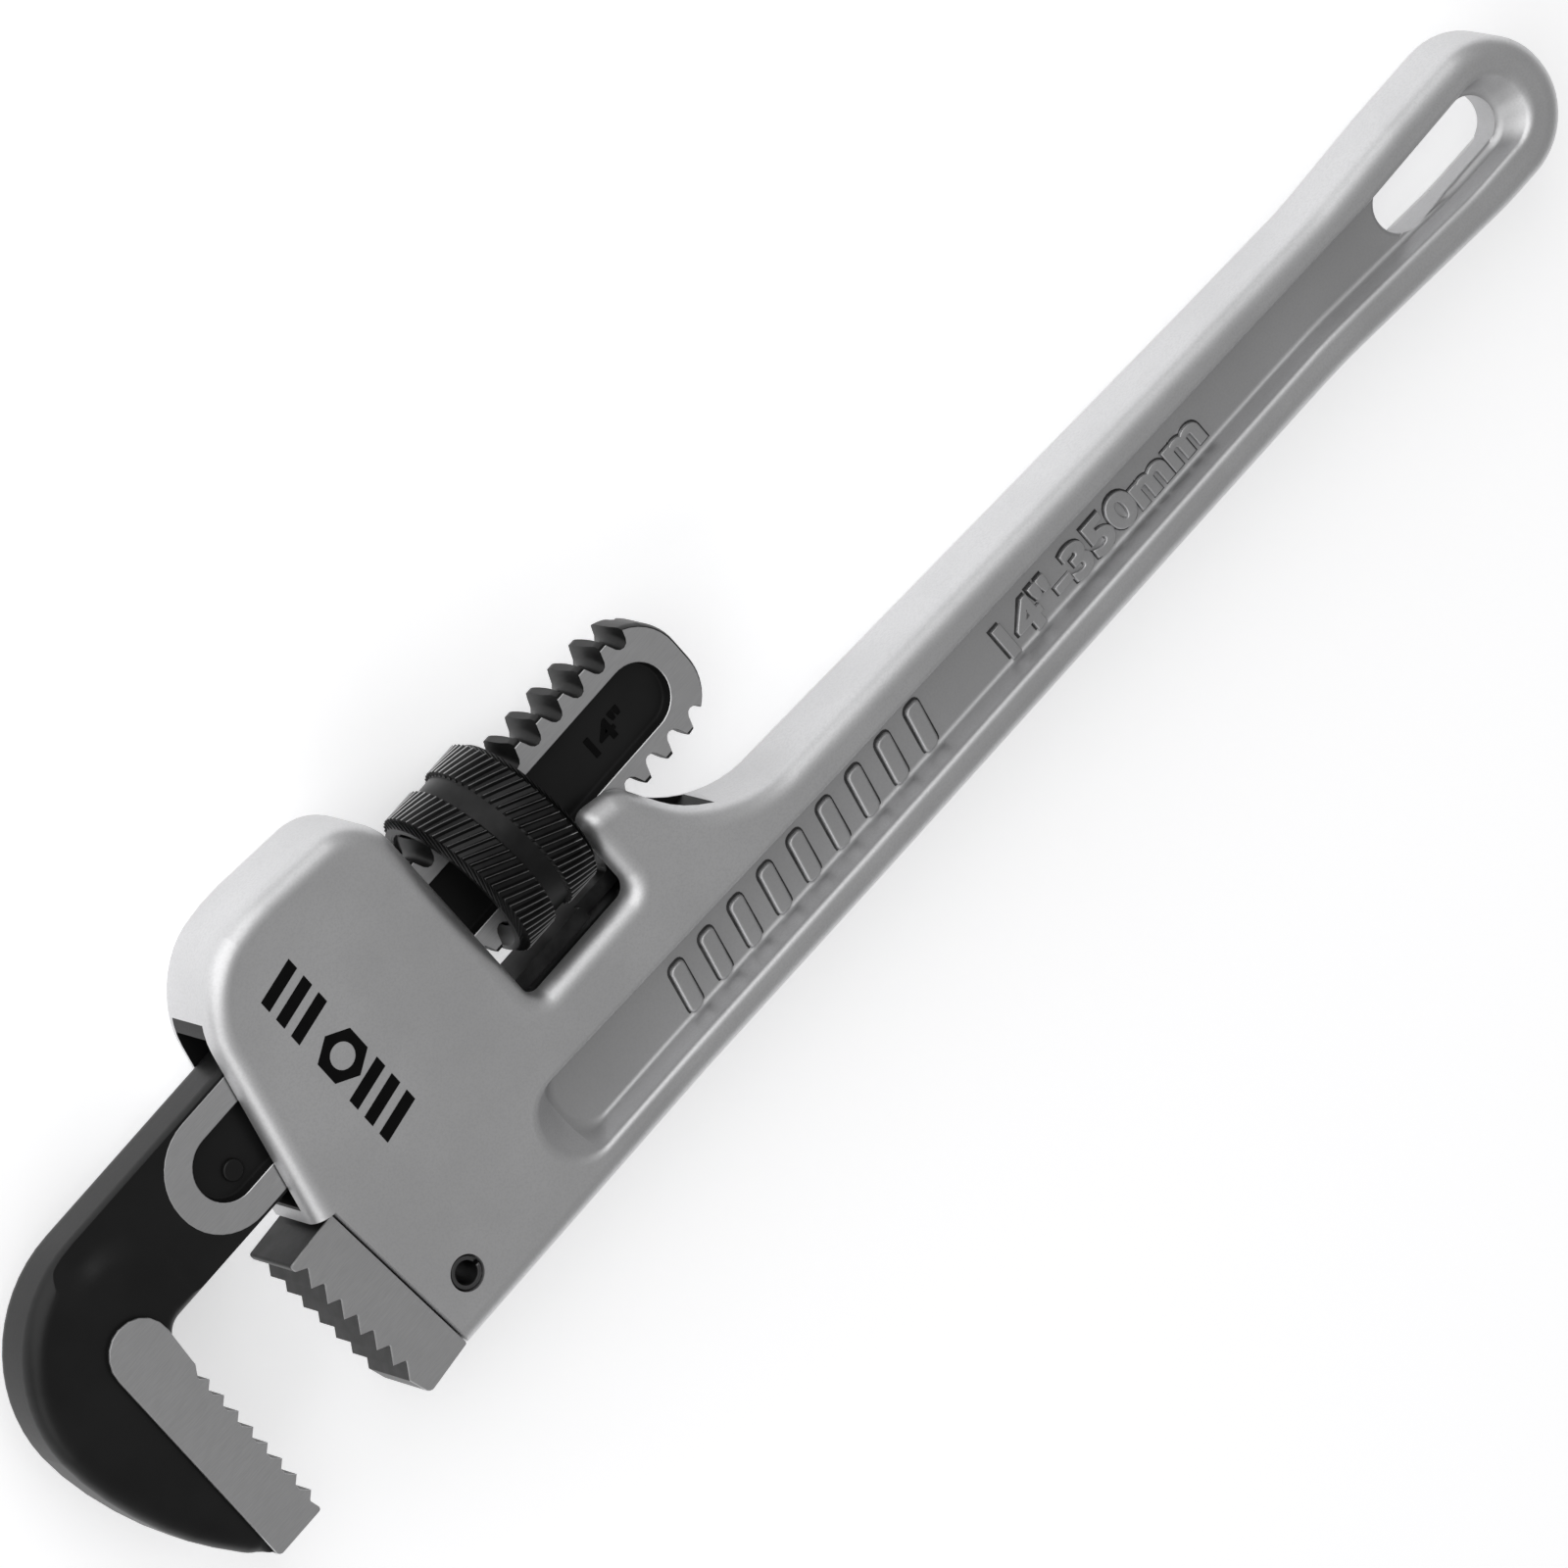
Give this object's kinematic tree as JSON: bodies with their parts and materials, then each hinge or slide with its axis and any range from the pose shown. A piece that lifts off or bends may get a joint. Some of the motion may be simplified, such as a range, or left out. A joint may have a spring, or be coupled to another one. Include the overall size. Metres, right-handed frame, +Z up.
{
  "type": "pipe wrench",
  "caption": "Straight adjustable pipe wrench with an I-section aluminium handle, a toothed hook jaw on a threaded shank, a knurled nut and a pinned toothed heel jaw.",
  "frame": {"origin": "middle of the wrench's footprint as it lies on its side, on the surface it lies on", "axes": "+X along the handle towards the hang slot's end, +Y across the handle towards the back of the hook jaw's shank, +Z up through the thickness"},
  "size_m": [0.3412, 0.0876, 0.0308],
  "materials": {
    "casting": "satin bead-blasted casting",
    "heel_jaw": "hardened steel, ground faces and dark teeth",
    "pin": "rolled spring steel",
    "springs": "blackened spring steel",
    "nut": "black oxide, knurled",
    "hook_jaw": "black forging with ground bright faces"
  },
  "bodies": {
    "handle": {"handle_frame": "casting", "heel_jaw": "heel_jaw", "heel_jaw_pin": "pin", "coil_spring": "springs"},
    "rocker": {"flat_spring": "springs", "spring_rivet": "springs"},
    "nut": {"adjusting_nut": "nut"},
    "jaw": {"hook_jaw": "hook_jaw"}
  },
  "joints": [
    {"name": "jaw_rock", "type": "hinge", "parent": "handle", "child": "rocker", "pos_m": [-0.0648, 0.00305, 0.01539], "axis": [0, 0, -1], "range_deg": [0, 3], "stiffness_Nm_per_rad": 1.6, "springref_deg": -3.44, "deforming": ["coil_spring"]},
    {"name": "nut_turn", "type": "hinge", "parent": "rocker", "child": "nut", "pos_m": [-0.0498, 0.01505, 0.01539], "axis": [1, 0, 0], "range_deg": [-1395, 1905]},
    {"name": "jaw_slide", "type": "slide", "parent": "rocker", "child": "jaw", "axis": [-1, 0, 0], "range_m": [-0.0205, 0.028]}
  ],
  "couplings": [
    {"joint": "nut_turn", "follows": "jaw_slide", "rad_per_m": 1185.5}
  ]
}
